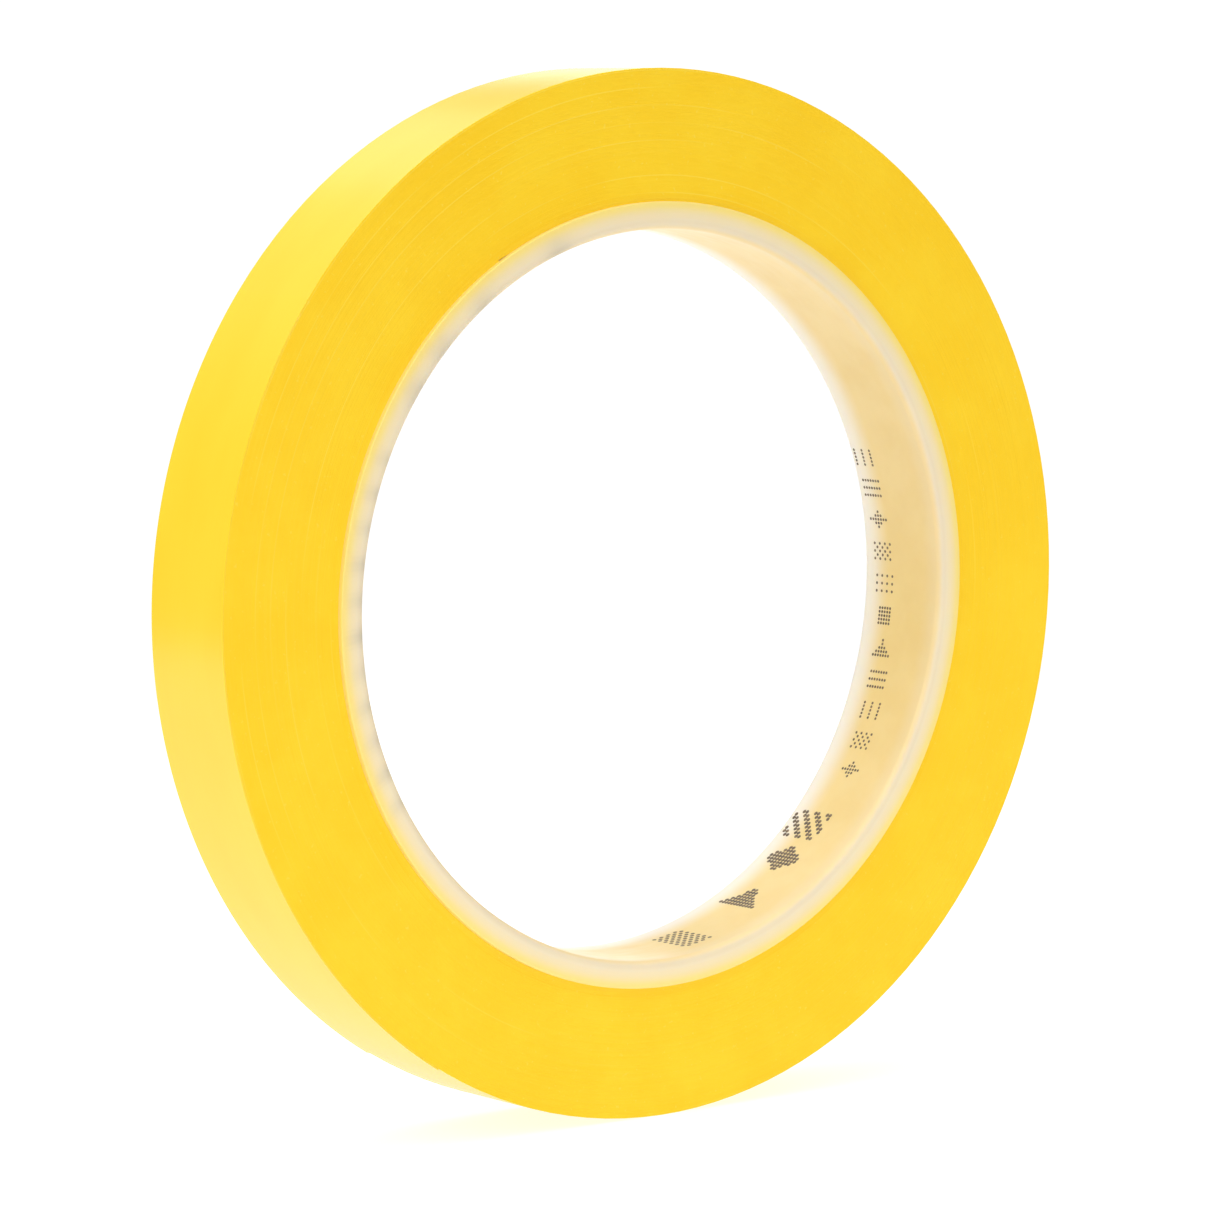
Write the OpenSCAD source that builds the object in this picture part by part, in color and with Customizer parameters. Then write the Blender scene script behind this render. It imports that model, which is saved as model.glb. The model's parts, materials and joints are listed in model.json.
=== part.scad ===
// Roll of adhesive tape on a plastic core, standing on its rim.
// The origin is the centre of the core's bore, +Y runs along the bore and +Z is up.
// The strip winds outwards from +X towards +Z, seen from the -Y side.

/* [Core] */
// Diameter of the core's bore
core_bore_d = 76.2; // [50:0.1:110]
// Thickness of the core's wall
core_wall = 2.85; // [1.5:0.05:5]
// Radius on the edges of the core's bore
core_edge_r = 0.8; // [0.2:0.1:1.2]

/* [Tape] */
// Width of the strip, and of the core
tape_w = 12.7; // [6:0.1:50]
// How far the wound strip sits back from the core's front end, which stands proud by as much
tape_setback = 0.55; // [0:0.05:1]
// Length of the strip on a full roll, in metres
tape_length_m = 32.8; // [10:0.1:70]
// Thickness of the backing film
film_t = 0.1; // [0.04:0.01:0.2]
// Thickness of the adhesive coat
adhesive_t = 0.027; // [0.015:0.001:0.06]
// Direction of the strip's inner end, in degrees from +X towards +Z
start_angle = 120.8; // [0:0.1:360]
// Direction of the strip's outer end
end_angle = 238.2; // [180:0.1:270]

/* [Free end] */
// Length of strip that can be peeled off
tail_length = 90; // [40:1:110]
// Clearance between the free end and the turn beneath it
tail_clearance = 0.02; // [0.01:0.01:0.05]
// Clearance between two stretches of the free end
bend_clearance = 0.05; // [0.02:0.01:0.1]

/* [Hidden] */
$fn = 180;
stretches = 9;
mm_per_m = 1000;

film_colour = [1, 0.83, 0.2];
adhesive_colour = [0.98, 0.86, 0.45];
core_colour = [0.95, 0.9, 0.77];

bore_r = core_bore_d / 2;
core_r = bore_r + core_wall;
tape_t = film_t + adhesive_t;
// The strip's side view has the same area wound up as laid flat, which gives the roll's outer radius
roll_r = sqrt(pow(core_r, 2) + tape_length_m * mm_per_m * tape_t / PI);

// The outermost turn is two half circles that meet smoothly opposite the strip's end.
// Each has its own centre, and the turn ends one pitch above where it began.
pitch = tape_t + tail_clearance;
first_half_r = roll_r - pitch;
second_half_r = roll_r - pitch / 2;
second_half_centre = [cos(end_angle), sin(end_angle)] * pitch / 2;

// The free end is the last part of the second half, and its seat is the turn beneath it
stretch_angle = tail_length / stretches / second_half_r * 180 / PI;
tail_angle = end_angle - stretches * stretch_angle;
bend_gap_angle = bend_clearance / second_half_r * 180 / PI;
seat_r = second_half_r - pitch;
tail_inner_r = second_half_r - tape_t;
glue_line_r = second_half_r - film_t;

// The second turn rises over the strip's inner end along a tangent and leaves a wedge of air before it
rise_angle = acos(core_r / (core_r + tape_t));
// How far the cutting shapes run past what they cut
over = 1;

// Point at a radius and an angle, seen from the -Y side
function at(r, angle) = [r * cos(angle), r * sin(angle)];

// Turns a side view, drawn in X and Y, into a solid as wide as the strip, where the strip lies
module across_the_width() {
    translate([0, tape_setback, 0])
        rotate([90, 0, 0]) linear_extrude(height = tape_w, center = true) children();
}

// Part of a disc around the second half's centre, from an angle over a sweep of up to 180 degrees
module sector(angle, sweep) {
    reach = 2 * roll_r;
    corners = [for (share = [0 : 0.5 : 1]) reach * [cos(angle + share * sweep), sin(angle + share * sweep)]];
    translate(second_half_centre) polygon(concat([[0, 0]], corners));
}

// Ring section between two radii, around the second half's centre
module ring_section(inner_r, outer_r, angle, sweep) {
    translate([second_half_centre[0], tape_setback, second_half_centre[1]])
        rotate([90, 0, 0])
            rotate([0, 0, angle])
                rotate_extrude(angle = sweep)
                    translate([inner_r, -tape_w / 2]) square([outer_r - inner_r, tape_w]);
}

module core_profile() {
    straight = tape_w / 2 - core_edge_r;
    translate([bore_r + core_edge_r, -tape_w / 2]) square([core_wall - core_edge_r, tape_w]);
    translate([bore_r, -straight]) square([core_wall, 2 * straight]);
    for (side = [-1, 1]) translate([bore_r + core_edge_r, side * straight]) circle(r = core_edge_r);
}

module core() {
    color(core_colour) rotate([90, 0, 0]) rotate_extrude() core_profile();
}

// Side view of the wound turns: the first half turn, the second half turn up to where the
// free end leaves it, and the seat of the free end
module turns_outline() {
    intersection() {
        circle(r = first_half_r);
        sector(end_angle, 180);
    }
    intersection() {
        translate(second_half_centre) circle(r = second_half_r);
        sector(end_angle + 180, tail_angle + 180 - end_angle);
    }
    intersection() {
        translate(second_half_centre) circle(r = seat_r);
        sector(tail_angle, end_angle - tail_angle);
    }
}

// Wedge of air in front of the strip's inner end
module start_wedge() {
    polygon([
        at(core_r - tape_t / 10, start_angle - rise_angle),
        at(core_r - over, start_angle),
        at(core_r + tape_t, start_angle)
    ]);
}

module tape_winding() {
    color(film_colour) across_the_width() difference() {
        turns_outline();
        circle(r = core_r);
        start_wedge();
    }
}

// Stretch number i of one layer of the free end, counted from the roll outwards
module tail_layer(i, inner_r, outer_r) {
    ring_section(
        inner_r, outer_r,
        tail_angle + (i - 1) * stretch_angle + bend_gap_angle,
        stretch_angle - bend_gap_angle
    );
}

module tail_film(i) {
    color(film_colour) tail_layer(i, glue_line_r, second_half_r);
}

module tail_adhesive(i) {
    color(adhesive_colour) tail_layer(i, tail_inner_r, glue_line_r);
}

core();
tape_winding();
tail_film(1);  // tail_film_1
tail_film(2);  // tail_film_2
tail_film(3);  // tail_film_3
tail_film(4);  // tail_film_4
tail_film(5);  // tail_film_5
tail_film(6);  // tail_film_6
tail_film(7);  // tail_film_7
tail_film(8);  // tail_film_8
tail_film(9);  // tail_film_9
tail_adhesive(1);  // tail_adhesive_1
tail_adhesive(2);  // tail_adhesive_2
tail_adhesive(3);  // tail_adhesive_3
tail_adhesive(4);  // tail_adhesive_4
tail_adhesive(5);  // tail_adhesive_5
tail_adhesive(6);  // tail_adhesive_6
tail_adhesive(7);  // tail_adhesive_7
tail_adhesive(8);  // tail_adhesive_8
tail_adhesive(9);  // tail_adhesive_9
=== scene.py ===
import json
import math

import bpy
import numpy as np
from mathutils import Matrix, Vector


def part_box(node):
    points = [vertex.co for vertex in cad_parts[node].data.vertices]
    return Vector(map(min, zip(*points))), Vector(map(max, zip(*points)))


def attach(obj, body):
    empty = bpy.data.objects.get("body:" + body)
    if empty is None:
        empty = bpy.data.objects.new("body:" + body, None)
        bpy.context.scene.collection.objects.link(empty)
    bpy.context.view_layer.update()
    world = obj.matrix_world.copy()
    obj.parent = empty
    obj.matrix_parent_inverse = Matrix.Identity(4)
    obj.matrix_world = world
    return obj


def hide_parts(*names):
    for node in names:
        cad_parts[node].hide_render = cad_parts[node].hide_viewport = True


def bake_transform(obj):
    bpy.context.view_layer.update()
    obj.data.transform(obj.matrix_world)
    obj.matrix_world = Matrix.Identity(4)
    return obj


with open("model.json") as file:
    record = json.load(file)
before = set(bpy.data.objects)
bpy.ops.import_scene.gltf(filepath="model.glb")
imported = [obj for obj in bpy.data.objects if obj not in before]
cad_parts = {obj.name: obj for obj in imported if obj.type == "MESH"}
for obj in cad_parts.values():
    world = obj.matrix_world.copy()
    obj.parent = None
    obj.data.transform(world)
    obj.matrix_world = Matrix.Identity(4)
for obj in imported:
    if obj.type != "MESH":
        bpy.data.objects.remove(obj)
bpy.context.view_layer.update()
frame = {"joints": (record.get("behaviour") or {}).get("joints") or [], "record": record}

MM = 0.001

# ---------------------------------------------------------------- sizes, from the frame
record = frame["record"]
hinges = [Vector(j["pos_m"]) for j in frame["joints"]]
bore = next(m["dims"] for m in record["mounts"] if m["name"] == "core_bore")
bore_r = bore["r_mm"] * MM
bore_length = bore["length_mm"] * MM
core_low, core_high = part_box("core")
core_r = core_high.x
core_width = core_high.y - core_low.y
tape_low, tape_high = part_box("tape_winding")
width = tape_high.y - tape_low.y
tape_y = (tape_low.y + tape_high.y) / 2
floor_z = tape_low.z
stretches = len(hinges)


def circle_through(a, b, c):
    """Centre and radius of the circle through three points, seen along the roll's axis."""
    bx, bz, cx, cz = b.x - a.x, b.z - a.z, c.x - a.x, c.z - a.z
    twice = 2 * (bx * cz - bz * cx)
    bb, cc = bx * bx + bz * bz, cx * cx + cz * cz
    ux, uz = (cz * bb - bz * cc) / twice, (bx * cc - cx * bb) / twice
    return Vector((a.x + ux, 0, a.z + uz)), math.hypot(ux, uz)


# the free end lies on a circle a little off the bore's axis, hinged at even angles round it
tail_centre, tail_r = circle_through(hinges[0], hinges[stretches // 2], hinges[-1])
root_angle, last_angle = (
    math.degrees(math.atan2(h.z - tail_centre.z, h.x - tail_centre.x)) % 360 for h in (hinges[0], hinges[-1])
)
stretch = (last_angle - root_angle) / (stretches - 1)
tip_angle = last_angle + stretch
tip = tail_centre + tail_r * Vector((math.cos(math.radians(tip_angle)), 0, math.sin(math.radians(tip_angle))))
roll_r = tip.length

# ---------------------------------------------------------------- sizes of the looks
start_angle = 120.8        # of the strip's inner end, in degrees from +X towards +Z
tape_t = 0.127 * MM        # film and adhesive
film_share = 0.79          # of the tape's thickness; the rest is adhesive
skin = 0.03 * MM           # how far the drawn tape stays inside the CAD's outer surface
ring_spacing = 1.8         # millimetres of radius between the rings on the roll's sides
edge_play = 0.03 * MM      # how far a turn may stand proud or lie deep on the roll's sides
steps_per_turn = 140
hugging_turns = 8          # turns over which the winding changes from hugging the core to climbing evenly
step_angle = 1.2           # degrees over which a hugging turn steps up over the strip's inner end
groove_depth = 0.006 * MM  # of the adhesive line between two films, on the cut sides
chamfer = 0.035 * MM       # on the outermost turn's two edges
bend_lead = 0.15           # of a stretch, how far before its hinge the second bend would start
tape_edge = 0.12 * MM      # radius on the core's edges beside the tape
core_steps = 480           # round the core
corner_steps = 8           # round each corner of the core's profile
bore_rows = 12             # across the bore
rim_columns = 6            # of points across the rim
row_angle = 0.7            # degrees between rows of points along the free end
film_columns = 5           # across the free end's film


part_turn = (tip_angle - start_angle) / 360
turns = round((roll_r - core_r) / tape_t - 1 - part_turn) + part_turn
pitch = (roll_r - skin - core_r) / (turns + 1)


def outer_radius(phi):
    """Radius of the film's outer surface, at phi degrees along the strip from its inner end.

    The first turns hug the core, and step up as they pass over the strip's inner end. The turns
    after them climb evenly. The last ones become the two half circles, on slightly different
    centres, that the CAD's outline is made of."""
    phi = np.asarray(phi, float)
    even = phi / 360
    past_start = phi % 360
    hugging = (phi - past_start) / 360 + np.clip(1 - (360 - past_start) / step_angle, 0, 1)
    past_tip = (phi - 360 * turns) % 360
    two_circles = (phi - past_tip) / 360
    two_circles = two_circles + np.where(past_tip >= 180, (1 + np.cos(np.radians(past_tip))) / 2, 0)
    off_core = np.clip(phi / 360 / hugging_turns, 0, 1)
    climbed = hugging + off_core * (even - hugging)
    share = np.clip(phi / (360 * turns), 0, 1)
    return core_r + pitch * (1 + climbed + share * (two_circles - even))


def around(radius, phi, y):
    """Points at a radius, phi degrees along the strip from its inner end, y back from the tape's middle."""
    angle = np.radians(np.asarray(phi, float) + start_angle)
    radius, angle, y = np.broadcast_arrays(radius, angle, y)
    return np.stack([radius * np.cos(angle), tape_y + y, radius * np.sin(angle)], axis=-1)


# ---------------------------------------------------------------- mesh and node helpers
def make_mesh(name, points, faces, materials, slots=None, sharp=30):
    """A smooth-shaded object, with edges over the sharp angle kept crisp."""
    mesh = bpy.data.meshes.new(name)
    mesh.from_pydata([tuple(p) for p in points], [], faces)
    for material in materials:
        mesh.materials.append(material)
    if slots is not None:
        mesh.polygons.foreach_set("material_index", np.asarray(slots, np.int32))
    mesh.shade_smooth()
    mesh.set_sharp_from_angle(angle=math.radians(sharp))
    mesh.validate()
    mesh.update()
    piece = bpy.data.objects.new(name, mesh)
    bpy.context.scene.collection.objects.link(piece)
    return piece


def grid_faces(rows, columns, close_rows=False, close_columns=False):
    """Quads of a grid of points stored row by row."""
    faces = []
    for i in range(rows if close_rows else rows - 1):
        for j in range(columns if close_columns else columns - 1):
            next_row = (i + 1) % rows
            next_column = (j + 1) % columns
            faces.append((
                i * columns + j,
                i * columns + next_column,
                next_row * columns + next_column,
                next_row * columns + j,
            ))
    return faces


class Nodes:
    """Short names for building a material's node tree."""

    def __init__(self, name):
        self.material = bpy.data.materials.new(name)
        self.material.use_nodes = True
        self.tree = self.material.node_tree
        self.shader = self.tree.nodes["Principled BSDF"]

    def add(self, kind, **settings):
        node = self.tree.nodes.new("ShaderNode" + kind)
        for key, value in settings.items():
            setattr(node, key, value)
        return node

    def link(self, source, target):
        self.tree.links.new(source, target)

    def put(self, value, socket):
        if isinstance(value, bpy.types.NodeSocket):
            self.link(value, socket)
        else:
            socket.default_value = value

    def math(self, operation, a, b=0.0):
        node = self.add("Math", operation=operation)
        for value, socket in zip((a, b), node.inputs):
            self.put(value, socket)
        return node.outputs[0]

    def mix(self, share, a, b):
        node = self.add("Mix", data_type="RGBA")
        self.put(share, node.inputs["Factor"])
        self.put(a, node.inputs["A"])
        self.put(b, node.inputs["B"])
        return node.outputs["Result"]

    def spread(self, value, low, high, to_low=0.0, to_high=1.0):
        """Maps low..high to to_low..to_high, smoothly and no further."""
        node = self.add("MapRange", interpolation_type="SMOOTHSTEP")
        for v, socket in zip((value, low, high, to_low, to_high), node.inputs):
            self.put(v, socket)
        return node.outputs[0]

    def noise(self, vector, scale, detail=2.0, roughness=0.5):
        node = self.add("TexNoise")
        self.put(vector, node.inputs["Vector"])
        node.inputs["Scale"].default_value = scale
        node.inputs["Detail"].default_value = detail
        node.inputs["Roughness"].default_value = roughness
        return node.outputs["Fac"]

    def combine(self, x, y, z):
        node = self.add("CombineXYZ")
        for value, socket in zip((x, y, z), node.inputs):
            self.put(value, socket)
        return node.outputs[0]

    def position(self):
        """x, y and z in the row frame, in millimetres."""
        scale = self.add("VectorMath", operation="SCALE")
        self.link(self.add("TexCoord").outputs["Object"], scale.inputs[0])
        scale.inputs["Scale"].default_value = 1 / MM
        split = self.add("SeparateXYZ")
        self.link(scale.outputs[0], split.inputs[0])
        return scale.outputs[0], split.outputs

    def strip(self):
        """Distance along the strip, and y across it, in millimetres."""
        place = self.add("Attribute", attribute_name="strip_mm")
        split = self.add("SeparateXYZ")
        self.link(place.outputs["Vector"], split.inputs[0])
        return split.outputs

    def bump(self, height, strength, distance):
        node = self.add("Bump")
        node.inputs["Strength"].default_value = strength
        node.inputs["Distance"].default_value = distance
        self.link(height, node.inputs["Height"])
        self.link(node.outputs[0], self.shader.inputs["Normal"])


def from_srgb(r, g, b):
    """A colour given as 0..255 screen values, as the shader wants it."""
    def linear(v):
        v /= 255
        return v / 12.92 if v <= 0.04045 else ((v + 0.055) / 1.055) ** 2.4
    return (linear(r), linear(g), linear(b), 1.0)


# ---------------------------------------------------------------- materials
def film_material():
    """Glossy coloured film: faint streaks along the strip, and a slow unevenness under the gloss."""
    n = Nodes("tape_film")
    along, across, _ = n.strip()
    streaks = n.noise(n.combine(n.math("MULTIPLY", along, 0.03), across, 0.0), 2.0, 4.0, 0.6)
    stretched = n.combine(n.math("MULTIPLY", along, 0.05), n.math("MULTIPLY", across, 0.12), 0.0)
    slow = n.noise(stretched, 1.0, 2.0)
    grain = n.noise(n.combine(along, across, 3.0), 6.0, 3.0, 0.6)
    tone = n.mix(n.spread(slow, 0.3, 0.7), from_srgb(254, 215, 34), from_srgb(255, 219, 42))
    tone = n.mix(n.spread(streaks, 0.35, 0.75, 0.0, 0.12), tone, from_srgb(252, 211, 30))
    n.link(tone, n.shader.inputs["Base Color"])
    n.link(n.math("ADD", n.spread(streaks, 0.3, 0.7, 0.225, 0.24), n.spread(grain, 0.3, 0.8, 0.0, 0.03)),
           n.shader.inputs["Roughness"])
    n.shader.inputs["IOR"].default_value = 1.55
    height = n.math("ADD", slow, n.math("MULTIPLY", grain, 0.03))
    n.bump(height, 0.3, 0.02 * MM)
    return n.material


def edge_material():
    """The cut sides: hundreds of film edges, each a little different, with painted highlights on a few proud
    rings.
    """
    n = Nodes("tape_edges")
    place, (x, y, z) = n.position()
    radius = n.math("SQRT", n.math("ADD", n.math("MULTIPLY", x, x), n.math("MULTIPLY", z, z)))
    layers = n.noise(n.combine(n.math("MULTIPLY", radius, 5.0), n.math("MULTIPLY", x, 0.05),
                               n.math("MULTIPLY", z, 0.05)), 1.0, 3.0, 0.7)
    cloud = n.noise(place, 0.12, 4.0, 0.6)
    flecks = n.noise(place, 2.2, 2.0, 0.6)
    grain = n.noise(place, 6.0, 2.0, 0.6)
    tone = n.mix(n.spread(cloud, 0.35, 0.7), from_srgb(254, 207, 22), from_srgb(255, 212, 32))
    tone = n.mix(n.spread(layers, 0.4, 0.8, 0.0, 0.12), tone, from_srgb(255, 222, 70))
    tone = n.mix(n.spread(flecks, 0.66, 0.74, 0.0, 0.5), tone, from_srgb(255, 222, 80))
    # painted highlight: lighter rings where proud turns catch the light, coming and going round the roll,
    # plainest at its upper left
    wave = n.math("SINE", n.math("MULTIPLY", radius, 2 * math.pi / ring_spacing))
    presence = n.noise(n.combine(n.math("MULTIPLY", radius, 0.55), n.math("MULTIPLY", x, 0.04),
                                 n.math("MULTIPLY", z, 0.04)), 1.0, 1.0)
    presence = n.math("ADD", presence, n.math("MULTIPLY", n.math("SUBTRACT", z, x), 0.0018))
    ring_highlight = n.math("MULTIPLY", n.spread(wave, 0.96, 1.0), n.spread(presence, 0.5, 0.68))
    tone = n.mix(n.math("MULTIPLY", ring_highlight, 0.4), tone, from_srgb(255, 226, 86))
    # light that comes through the core brightens the turns beside it
    beside_core = n.spread(radius, core_r / MM + 0.1, core_r / MM + 0.7, 0.3, 0.0)
    tone = n.mix(beside_core, tone, from_srgb(255, 228, 74))
    n.link(tone, n.shader.inputs["Base Color"])
    n.link(n.spread(grain, 0.3, 0.7, 0.5, 0.62), n.shader.inputs["Roughness"])
    n.shader.inputs["Specular IOR Level"].default_value = 0.3
    height = n.math("ADD", n.math("MULTIPLY", layers, 0.6), n.math("MULTIPLY", grain, 0.4))
    n.bump(height, 0.35, 0.02 * MM)
    return n.material


def adhesive_material():
    """Tacky rubber coat over the film: a soft uneven sheen, a little paler than the film."""
    n = Nodes("tape_adhesive")
    along, across, _ = n.strip()
    mottle = n.noise(n.combine(along, across, 7.0), 1.2, 4.0, 0.65)
    tone = n.mix(n.spread(mottle, 0.3, 0.7), from_srgb(248, 212, 70), from_srgb(253, 222, 96))
    n.link(tone, n.shader.inputs["Base Color"])
    n.link(n.spread(mottle, 0.3, 0.75, 0.3, 0.48), n.shader.inputs["Roughness"])
    n.bump(mottle, 0.5, 0.03 * MM)
    return n.material


def core_material():
    """Natural translucent plastic. Painted glow where light comes out of its ends, and painted yellow where
    the tape's yellow shows through.
    """
    n = Nodes("core_plastic")
    place, (x, y, z) = n.position()
    radius = n.math("SQRT", n.math("ADD", n.math("MULTIPLY", x, x), n.math("MULTIPLY", z, z)))
    in_wall = n.math("SUBTRACT", radius, bore_r / MM)
    from_front = n.math("ADD", y, core_width / MM / 2)
    cloud = n.spread(n.noise(place, 0.2, 3.0, 0.5), 0.3, 0.7)
    squeezed = n.combine(
        n.math("MULTIPLY", x, 0.3), n.math("MULTIPLY", y, 1.5), n.math("MULTIPLY", z, 0.3)
    )
    flow = n.noise(squeezed, 1.0, 3.0)
    amber = n.mix(cloud, from_srgb(240, 211, 140), from_srgb(244, 217, 150))
    # painted glow: the bore is paler towards its front end and palest towards its back end, standing in for
    # light coming through the plastic
    near_front = n.spread(from_front, 0.6, 3.0, 0.5, 0.0)
    bore_tone = n.mix(near_front, amber, from_srgb(240, 220, 176))
    back_glow = n.spread(from_front, core_width / MM - 4.5, core_width / MM - 0.8)
    bore_tone = n.mix(back_glow, bore_tone, from_srgb(248, 240, 224))
    # painted light: the end is greyer by the bore and yellow towards the tape, standing in for the tape's
    # yellow light coming through the plastic
    end_tone = n.mix(n.spread(in_wall, 0.4, 1.4), from_srgb(233, 218, 189), from_srgb(244, 226, 184))
    end_tone = n.mix(n.math("MULTIPLY", cloud, 0.3), end_tone, from_srgb(246, 228, 182))
    end_tone = n.mix(n.spread(in_wall, 1.3, 2.7), end_tone, from_srgb(253, 225, 130))
    # painted highlight: a faint pale line where the end turns into the bore
    off_line = n.math("ABSOLUTE", n.math("SUBTRACT", in_wall, 1.0))
    edge_highlight = n.math("MULTIPLY", n.spread(off_line, 0.0, 0.28, 0.12, 0.0), n.spread(flow, 0.3, 0.6, 0.5, 1.0))
    end_tone = n.mix(edge_highlight, end_tone, from_srgb(243, 238, 228))
    tone = n.mix(n.spread(in_wall, 0.02, 0.5), bore_tone, end_tone)
    shade = n.add("Attribute", attribute_name="ink_shadow").outputs["Fac"]
    tone = n.mix(n.math("MULTIPLY", shade, 0.8), tone, from_srgb(160, 156, 142))
    n.link(tone, n.shader.inputs["Base Color"])
    n.shader.inputs["Subsurface Weight"].default_value = 0.3
    n.shader.inputs["Subsurface Radius"].default_value = (1.0, 0.75, 0.4)
    n.shader.inputs["Subsurface Scale"].default_value = 1.0 * MM
    n.link(n.spread(flow, 0.3, 0.7, 0.28, 0.38), n.shader.inputs["Roughness"])
    n.bump(n.math("ADD", flow, n.math("MULTIPLY", cloud, 0.5)), 0.3, 0.02 * MM)
    return n.material


def ink_material():
    """Thin grey-brown ink dots."""
    n = Nodes("ink")
    place, _ = n.position()
    worn = n.noise(place, 3.0, 3.0, 0.6)
    tone = n.mix(n.spread(worn, 0.35, 0.75), from_srgb(88, 76, 62), from_srgb(150, 128, 96))
    n.link(tone, n.shader.inputs["Base Color"])
    n.link(n.spread(worn, 0.3, 0.7, 0.4, 0.6), n.shader.inputs["Roughness"])
    return n.material


def floor_material():
    """Plain pale floor with a glow of its own, so that shadows on it stay faint."""
    n = Nodes("floor")
    n.shader.inputs["Emission Color"].default_value = (1, 1, 1, 1)
    n.shader.inputs["Emission Strength"].default_value = floor_glow
    n.shader.inputs["Base Color"].default_value = (floor_grey, floor_grey, floor_grey, 1)
    n.shader.inputs["Roughness"].default_value = 0.8
    n.shader.inputs["Specular IOR Level"].default_value = 0.1
    return n.material


film = film_material()
edges = edge_material()
adhesive = adhesive_material()
plastic = core_material()
ink = ink_material()


# ---------------------------------------------------------------- the print on the bore
# Two like rows of marks: where each starts, in degrees from +X towards +Z. They run clockwise.
row_starts = (19, 209)
small_step = 5.3           # degrees from one small mark to the next
small_y = 4.1              # of the first small mark's middle, in millimetres from the bore's middle
small_slant = 0.061        # millimetres forward for each degree
large_offsets = (64.5, 72.0, 82.0, 98.0)
large_y = 2.5
large_slant = 0.08
# rows and columns of dots, and the dots' pitch and radius in millimetres
small_dots = (7, 5, 0.42, 0.165)
large_dots = (12, 8, 0.48, 0.25)
dot_sides = 8
dot_height = 0.012 * MM
dot_top = 0.9              # of the dot's radius, how wide its top is
# the second row's shadow in the core's front edge: its strength, how many degrees each mark's
# spreads, how deep into the wall it reaches, and how far back from the front
shadow_strength = 1.3
small_reach, large_reach = 1.3, 2.6
shadow_depth = 1.4 * MM
shadow_length = 2.0 * MM


# Each shape says whether it has a dot in a row and column of its grid
def bars(i, j, rows, columns):
    return j % 2 == 0


def chequer(i, j, rows, columns):
    return (i + j) % 2 == 0


def lozenge(i, j, rows, columns):
    return abs(2 * i / (rows - 1) - 1) + abs(2 * j / (columns - 1) - 1) < 1.1


def wedge(i, j, rows, columns):
    return abs(2 * i / (rows - 1) - 1) <= j / (columns - 1)


def hatch(i, j, rows, columns):
    return (i + j) % 4 < 2


def sparse(i, j, rows, columns):
    return i % 2 == 0 and j % 2 == 0


def block(i, j, rows, columns):
    return 0 < i < rows - 1


def dashes(i, j, rows, columns):
    return i % 3 == 0


def stamps(start):
    """The marks of one row, small ones first.

    Each has a shape, its angle, its middle's y in millimetres, how many rows and columns of dots,
    and the dots' pitch and radius in millimetres."""
    small = (dashes, bars, lozenge, chequer, sparse, block, wedge, bars, dashes, chequer, lozenge)
    large = (hatch, lozenge, wedge, chequer)
    for k, shape in enumerate(small):
        offset = small_step * k
        yield shape, start - offset, small_y - small_slant * offset, *small_dots
    for shape, offset in zip(large, large_offsets):
        y = large_y - large_slant * (offset - large_offsets[0])
        yield shape, start - offset, y, *large_dots


def add_dot(points, faces, angle, y, dot_r):
    """A low round dot on the bore, at an angle in radians, a little narrower on top."""
    first = len(points)
    for lift, share in ((0.0, 1.0), (dot_height, dot_top)):
        radius = bore_r - lift
        for k in range(dot_sides):
            turn = 2 * math.pi * k / dot_sides
            here = angle + dot_r * share * math.cos(turn) / bore_r
            across = y + dot_r * share * math.sin(turn)
            points.append((radius * math.cos(here), across, radius * math.sin(here)))
    foot = [first + k for k in range(dot_sides)]
    top = [first + dot_sides + k for k in range(dot_sides)]
    faces.append(tuple(top))
    faces.append(tuple(foot[::-1]))
    for k in range(dot_sides):
        after = (k + 1) % dot_sides
        faces.append((foot[k], foot[after], top[after], top[k]))


def make_marks():
    """Generic dot-matrix marks, in two slanting rows round the bore."""
    points, faces = [], []
    marks = [mark for start in row_starts for mark in stamps(start)]
    for shape, middle, y_mm, rows, columns, dot_pitch, dot_r in marks:
        for i in range(rows):
            for j in range(columns):
                if shape(i, j, rows, columns):
                    angle = math.radians(middle) - (j - (columns - 1) / 2) * dot_pitch * MM / bore_r
                    y = (y_mm + (i - (rows - 1) / 2) * dot_pitch) * MM
                    add_dot(points, faces, angle, y, dot_r * MM)
    piece = make_mesh("core_marks", points, faces, [ink], sharp=30)
    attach(piece, "roll")


def ink_shadow(angle):
    """How much of the second row shows through the core's front edge, at an angle in degrees."""
    total = 0.0
    for shape, middle, _, rows, columns, _, _ in stamps(row_starts[1]):
        dots = sum(shape(i, j, rows, columns) for i in range(rows) for j in range(columns))
        away = (angle - middle + 180) % 360 - 180
        reach = small_reach if rows == small_dots[0] else large_reach
        total += shadow_strength * dots / rows / columns * math.exp(-(away / reach) ** 2)
    return min(total, 1.0)


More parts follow.
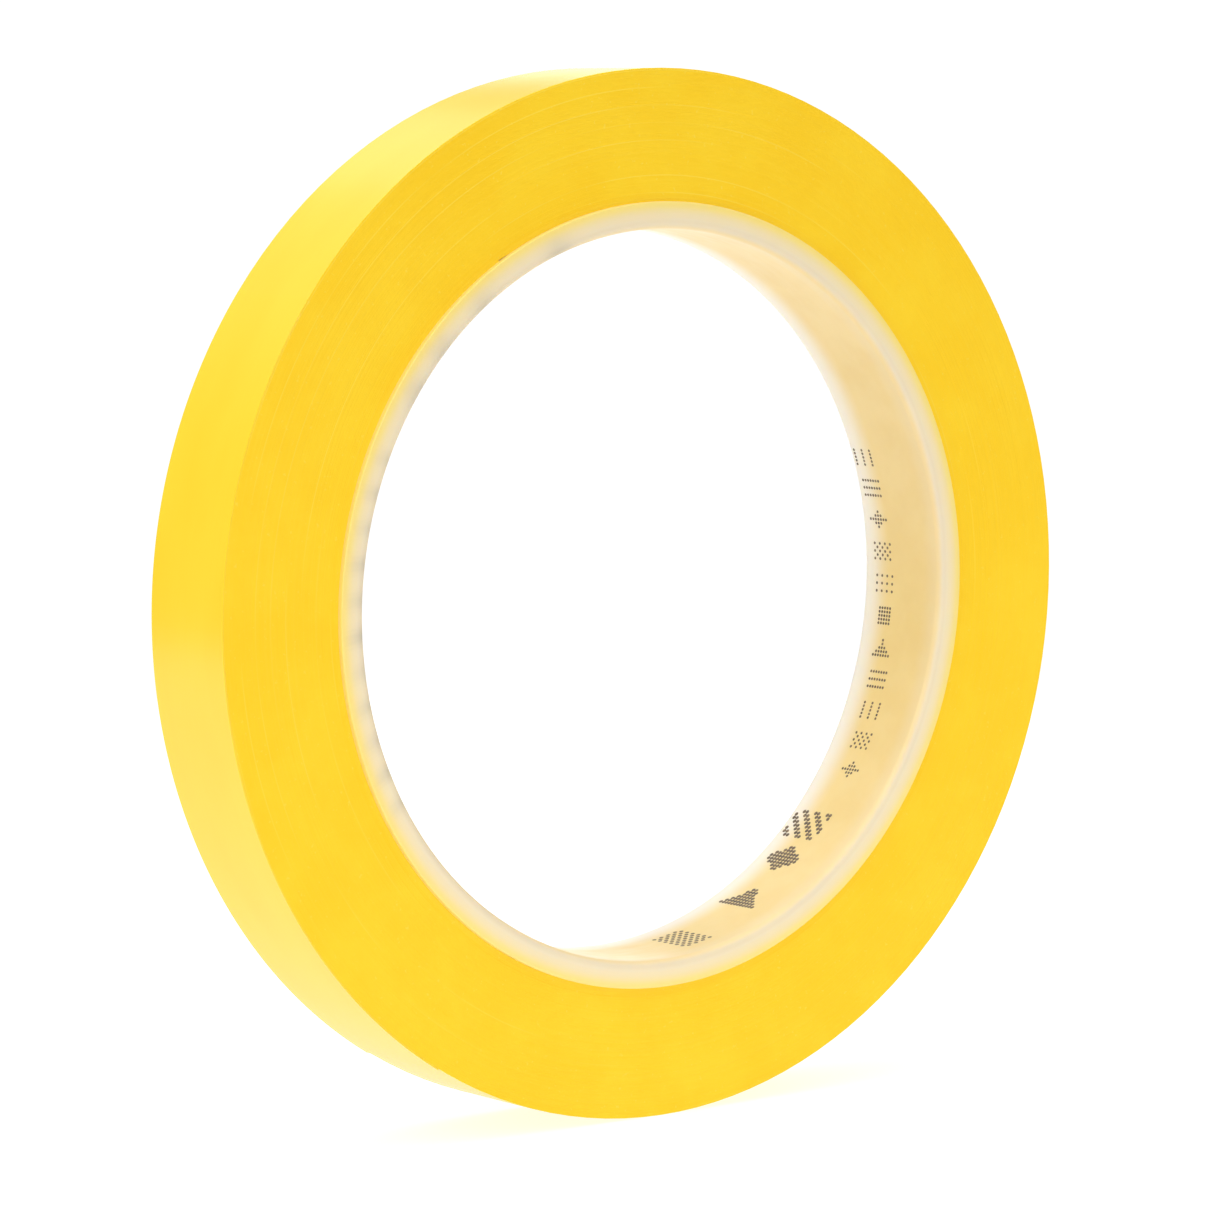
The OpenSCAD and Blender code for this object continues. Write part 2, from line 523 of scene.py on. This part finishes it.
# ---------------------------------------------------------------- the core
def make_core():
    """The plastic ring, turned from a profile with rounded bore edges."""
    half = core_width / 2
    bore_edge = half - bore_length / 2
    profile = []
    # the four corners in turn: the centre's radius and y, the corner's own radius, its first angle
    for radius, y, corner, first in (
        (bore_r + bore_edge, -half + bore_edge, bore_edge, 180),
        (core_r - tape_edge, -half + tape_edge, tape_edge, 270),
        (core_r - tape_edge, half - tape_edge, tape_edge, 0),
        (bore_r + bore_edge, half - bore_edge, bore_edge, 90),
    ):
        for step in range(corner_steps + 1):
            turn = math.radians(first + 90 * step / corner_steps)
            profile.append((radius + corner * math.cos(turn), y + corner * math.sin(turn)))
    for step in range(1, bore_rows):
        profile.append((bore_r, (half - bore_edge) * (1 - 2 * step / bore_rows)))
    points, shadow = [], []
    for i in range(core_steps):
        degrees = 360 * i / core_steps
        angle = math.radians(degrees)
        ink_here = ink_shadow(degrees)
        for radius, y in profile:
            points.append((radius * math.cos(angle), y, radius * math.sin(angle)))
            near_bore = max(0, 1 - (radius - bore_r) / shadow_depth)
            near_front = max(0, 1 - (y + half) / shadow_length)
            shadow.append(ink_here * near_bore * near_front)
    faces = grid_faces(core_steps, len(profile), close_rows=True, close_columns=True)
    piece = make_mesh("core_ring", points, faces, [plastic], sharp=60)
    attribute = piece.data.attributes.new("ink_shadow", "FLOAT", "POINT")
    attribute.data.foreach_set("value", np.asarray(shadow, np.float32))
    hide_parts("core")
    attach(piece, "roll")


# ---------------------------------------------------------------- the wound tape
# places in the wound tape's list of materials
EDGE_SLOT = 0
FILM_SLOT = 1


def side_play(phi):
    """How far the strip has wandered across the roll, phi degrees from its inner end.

    Slow waves, and a proud turn at each ring."""
    turn = np.asarray(phi, float) / 360
    slow = 0.45 * np.sin(turn * 1.1 + 0.7) + 0.3 * np.sin(turn * 2.9 + 2.0) + 0.25 * np.sin(turn * 7.3)
    radius = core_r / MM + turn * pitch / MM
    proud = np.clip(np.sin(radius * 2 * math.pi / ring_spacing) - 0.9, 0, 1) * 6
    return edge_play * np.clip(0.3 * slow - 0.6 * proud, -1, 1)


def make_winding():
    """Every turn up to where the free end leaves the roll. Gives how far along the strip that is.

    Each side is one spiral sheet: a turn's film edge, then the adhesive line before the
    next turn. The last turn carries the rim, and the first turn's inner side meets the core."""
    end = 360 * turns - stretch * stretches
    steps = int(round(end / 360 * steps_per_turn))
    phi = end - (steps - np.arange(steps + 1)) * 360 / steps_per_turn
    half = width / 2 - edge_play
    # the inner edges run one turn further than the rest: the last turn's are the roll's outline
    long_phi = np.concatenate([phi, end + np.arange(1, steps_per_turn + 1) * 360 / steps_per_turn])
    count, full = len(phi), len(long_phi)
    inner = outer_radius(long_phi - 360)
    last_turn = np.arange(full) >= count
    thick = outer_radius(phi) - outer_radius(phi - 360)
    line = 1 - film_share
    before, here = side_play(long_phi - 360), side_play(phi)
    points, faces, slots = [], [], []
    # where each side's rows of points start: inner edges, adhesive line, film's inner edges, rim
    starts = []

    def add_face(corners, slot):
        faces.append(corners)
        slots.append(slot)

    for side in (-1, 1):
        rows = (
            around(inner - np.where(last_turn, chamfer, 0), long_phi, side * half + before),
            around(inner[:count] + thick * line / 2, phi,
                   side * (half - groove_depth) + (before[:count] + here) / 2),
            around(inner[:count] + thick * line, phi, side * half + here),
            around(inner[count - 1:], long_phi[count - 1:],
                   side * (half - chamfer) + before[count - 1:]),
        )
        turn = len(points)
        glue, film_edge, rim = turn + full, turn + full + count, turn + full + 2 * count
        starts.append((turn, glue, film_edge, rim))
        points.extend(np.concatenate(rows))
        for i in range(count - 1):
            outwards = i + steps_per_turn
            for quad in (
                (turn + i, turn + i + 1, glue + i + 1, glue + i),
                (glue + i, glue + i + 1, film_edge + i + 1, film_edge + i),
                (film_edge + i, film_edge + i + 1, turn + outwards + 1, turn + outwards),
            ):
                add_face(quad if side > 0 else quad[::-1], EDGE_SLOT)
        for i in range(steps_per_turn):
            outline = turn + count - 1 + i
            quad = (outline, outline + 1, rim + i + 1, rim + i)
            add_face(quad if side > 0 else quad[::-1], FILM_SLOT)
    (front, front_glue, front_film, front_rim), (back, back_glue, back_film, back_rim) = starts
    # the rim between its two chamfers
    across_rim = [
        np.linspace(points[front_rim + i], points[back_rim + i], rim_columns)
        for i in range(steps_per_turn + 1)
    ]
    middle = len(points)
    for row in across_rim:
        points.extend(row[1:-1])

    def rim_point(i, j):
        if j == 0:
            return front_rim + i
        if j == rim_columns - 1:
            return back_rim + i
        return middle + i * (rim_columns - 2) + j - 1

    for i in range(steps_per_turn):
        for j in range(rim_columns - 1):
            quad = (rim_point(i, j), rim_point(i, j + 1), rim_point(i + 1, j + 1), rim_point(i + 1, j))
            add_face(quad, FILM_SLOT)
    # the first turn's inner side, against the core
    for i in range(steps_per_turn):
        add_face((front + i, front + i + 1, back + i + 1, back + i), FILM_SLOT)
    # the strip's inner end, then the face that the free end leaves from
    second = steps_per_turn  # from a point to the one above it, a turn further on
    add_face(
        (front, back, back_glue, back_film, back + second, front + second, front_film, front_glue),
        EDGE_SLOT,
    )
    last = count - 1
    add_face(
        [front + last, front_glue + last, front_film + last, front + last + second]
        + [rim_point(steps_per_turn, j) for j in range(rim_columns)]
        + [back + last + second, back_film + last, back_glue + last, back + last]
        + [rim_point(0, j) for j in range(rim_columns - 1, -1, -1)],
        EDGE_SLOT,
    )
    piece = make_mesh("wound_tape", points, faces, [edges, film], slots)
    mark_strip(piece, end)
    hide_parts("tape_winding")
    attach(piece, "roll")
    return end


def mark_strip(piece, end):
    """Stores each point's distance along the strip from the free end's root, and its y."""
    co = np.empty(len(piece.data.vertices) * 3, np.float32)
    piece.data.vertices.foreach_get("co", co)
    co = co.reshape(-1, 3)
    angle = np.degrees(np.arctan2(co[:, 2], co[:, 0])) - (start_angle + end) % 360
    along = np.radians((angle + 200) % 360 - 200) * roll_r / MM
    values = np.stack([along, co[:, 1] / MM, np.zeros(len(co))], axis=1).astype(np.float32)
    attribute = piece.data.attributes.new("strip_mm", "FLOAT_VECTOR", "POINT")
    attribute.data.foreach_set("vector", values.ravel())


# ---------------------------------------------------------------- the free end
def strip_piece(name, start, end, top, bottom, materials, bevel, root):
    """A curved length of one layer of the strip, from start to end degrees along it.

    top and bottom say how far its two surfaces lie under the film's outer surface. The first
    material is for its top and the bevels beside it, the second for the rest."""
    rows = max(2, int(round((end - start) / row_angle)) + 1)
    half = width / 2 - edge_play
    flat = half - bevel
    section = [(top + bevel, -half), (top, -flat)]
    section += [(top, -flat + 2 * flat * k / film_columns) for k in range(1, film_columns)]
    section += [(top, flat), (top + bevel, half), (bottom, half), (bottom, -half)]
    points = []
    for phi in np.linspace(start, end, rows):
        radius = float(outer_radius(phi))
        for depth, y in section:
            points.append(around(radius - depth, phi, y + float(side_play(phi))))
    faces = grid_faces(rows, len(section), close_columns=True)
    faces.append(tuple(range(len(section)))[::-1])
    faces.append(tuple(range((rows - 1) * len(section), rows * len(section))))
    slots = []
    for face in faces[:-2]:
        column = face[0] % len(section)
        slots.append(0 if column < film_columns + 2 else 1)
    slots += [1, 1]
    piece = make_mesh(name, points, faces, materials, slots)
    mark_strip(piece, root)
    return piece


def make_free_end(root):
    """Film and adhesive from the roll to the tip, in lengths cut half way between hinge lines."""
    film_depth = pitch * film_share
    middle = [root + (k + 0.5) * stretch for k in range(stretches)]
    cuts = [root] + middle + [360 * turns]
    for k in range(len(cuts) - 1):
        first_body = "roll" if k == 0 else f"tail_{k}"
        for layer, top, bottom, materials, bevel, slot_name in (
            ("film", 0.0, film_depth, [film, edges], chamfer, "tape_film"),
            ("adhesive", film_depth, pitch, [adhesive, adhesive], 0.0, "adhesive"),
        ):
            name = f"free_end_{layer}_{k}"
            piece = strip_piece(name, cuts[k], cuts[k + 1], top, bottom, materials, bevel, root)
            if k < stretches:
                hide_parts(f"tail_{layer}_{k + 1}")
                # where each length's bend would start, for the second length close to its hinge, and the
                # points at that bend's start and finish
                bend_start = root + (1 - bend_lead) * stretch if k == 1 else cuts[k]
                start, finish = (
                    Vector(around(float(outer_radius(phi)), phi, 0.0)) for phi in (bend_start, cuts[k + 1])
                )
                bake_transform(piece)
            else:
                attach(piece, first_body)


# ---------------------------------------------------------------- stage, lights and camera
floor_r = 0.38
floor_grey = 0.4
floor_glow = 0.73
# the room's light, by height of the direction it comes from
room_low, room_high = 0.3, 1.15
# the lit backdrop behind the roll: where it is, how close to that a direction counts, how strong
backdrop_direction = Vector((0.61, 0.785, 0)).normalized()
backdrop_edge, backdrop_full = 0.94, 0.98
backdrop_strength = 1.3
seen_background = 1.05     # what the camera sees behind everything
# each light's name, place in metres, side and power. The panel is what the rim's upper left mirrors
lights = (
    ("overhead", (-0.25, -0.1, 0.85), 1.1, 2.8),
    ("front", (-0.35, -1.1, 0.35), 0.9, 2.9),
    ("left", (-0.85, 0.0, 0.65), 0.7, 2.4),
    ("panel", (0.22, 0.78, 0.58), 0.3, 0.14),
)


def make_stage():
    bpy.ops.mesh.primitive_circle_add(
        vertices=96, radius=floor_r, fill_type="NGON", location=(0, 0, floor_z)
    )
    floor = bpy.context.object
    floor.name = "floor"
    floor.data.materials.append(floor_material())


def make_world():
    """A soft white room, brighter overhead, with a lit white backdrop behind the roll."""
    world = bpy.data.worlds.new("studio")
    bpy.context.scene.world = world
    world.use_nodes = True
    tree = world.node_tree
    tree.nodes.clear()

    def add(kind, **values):
        node = tree.nodes.new("ShaderNode" + kind)
        for name, value in values.items():
            node.inputs[name.replace("_", " ")].default_value = value
        return node

    direction = add("TexCoord").outputs["Generated"]
    split = add("SeparateXYZ")
    tree.links.new(direction, split.inputs[0])
    climb = add("MapRange", From_Min=0.2, From_Max=1.0, To_Min=room_low, To_Max=room_high)
    tree.links.new(split.outputs["Z"], climb.inputs["Value"])
    towards_backdrop = add("VectorMath")
    towards_backdrop.operation = "DOT_PRODUCT"
    tree.links.new(direction, towards_backdrop.inputs[0])
    towards_backdrop.inputs[1].default_value = backdrop_direction
    backdrop = add(
        "MapRange", From_Min=backdrop_edge, From_Max=backdrop_full, To_Min=0.0, To_Max=backdrop_strength
    )
    tree.links.new(towards_backdrop.outputs["Value"], backdrop.inputs["Value"])
    for node in (climb, backdrop):
        node.interpolation_type = "SMOOTHSTEP"
    both = add("Math")
    tree.links.new(climb.outputs[0], both.inputs[0])
    tree.links.new(backdrop.outputs[0], both.inputs[1])
    room = add("Background", Color=(1, 1, 1, 1))
    tree.links.new(both.outputs[0], room.inputs["Strength"])
    plain = add("Background", Color=(1, 1, 1, 1), Strength=seen_background)
    mix = add("MixShader")
    tree.links.new(add("LightPath").outputs["Is Camera Ray"], mix.inputs[0])
    tree.links.new(room.outputs[0], mix.inputs[1])
    tree.links.new(plain.outputs[0], mix.inputs[2])
    tree.links.new(mix.outputs[0], add("OutputWorld").inputs["Surface"])


def add_light(name, place, size, power):
    """A square soft light, turned towards the roll's middle."""
    light = bpy.data.lights.new(name, "AREA")
    light.shape = "SQUARE"
    light.size = size
    light.energy = power
    lamp = bpy.data.objects.new(name, light)
    bpy.context.scene.collection.objects.link(lamp)
    lamp.location = place
    lamp.rotation_euler = Vector(place).to_track_quat("Z", "Y").to_euler()


def make_camera():
    """A long lens, well round to the left of the roll and a little above it."""
    focal_mm, sensor_mm = 154.96, 36
    azimuth, elevation, distance = math.radians(-37.92), math.radians(5.614), 0.545
    aim = Vector((-3.2, -0.65, -1.3)) * MM
    back = Vector((
        math.sin(azimuth) * math.cos(elevation),
        -math.cos(azimuth) * math.cos(elevation),
        math.sin(elevation),
    ))
    data = bpy.data.cameras.new("camera")
    data.lens = focal_mm
    data.sensor_width = sensor_mm
    data.clip_start = 0.01
    data.clip_end = 20
    camera = bpy.data.objects.new("camera", data)
    bpy.context.scene.collection.objects.link(camera)
    camera.location = aim + back * distance
    camera.rotation_euler = back.to_track_quat("Z", "Y").to_euler()
    bpy.context.scene.camera = camera


bpy.context.scene.view_settings.view_transform = "Standard"
make_camera()
make_core()
root = make_winding()
make_free_end(root)
make_marks()
make_stage()
make_world()
for light in lights:
    add_light(*light)
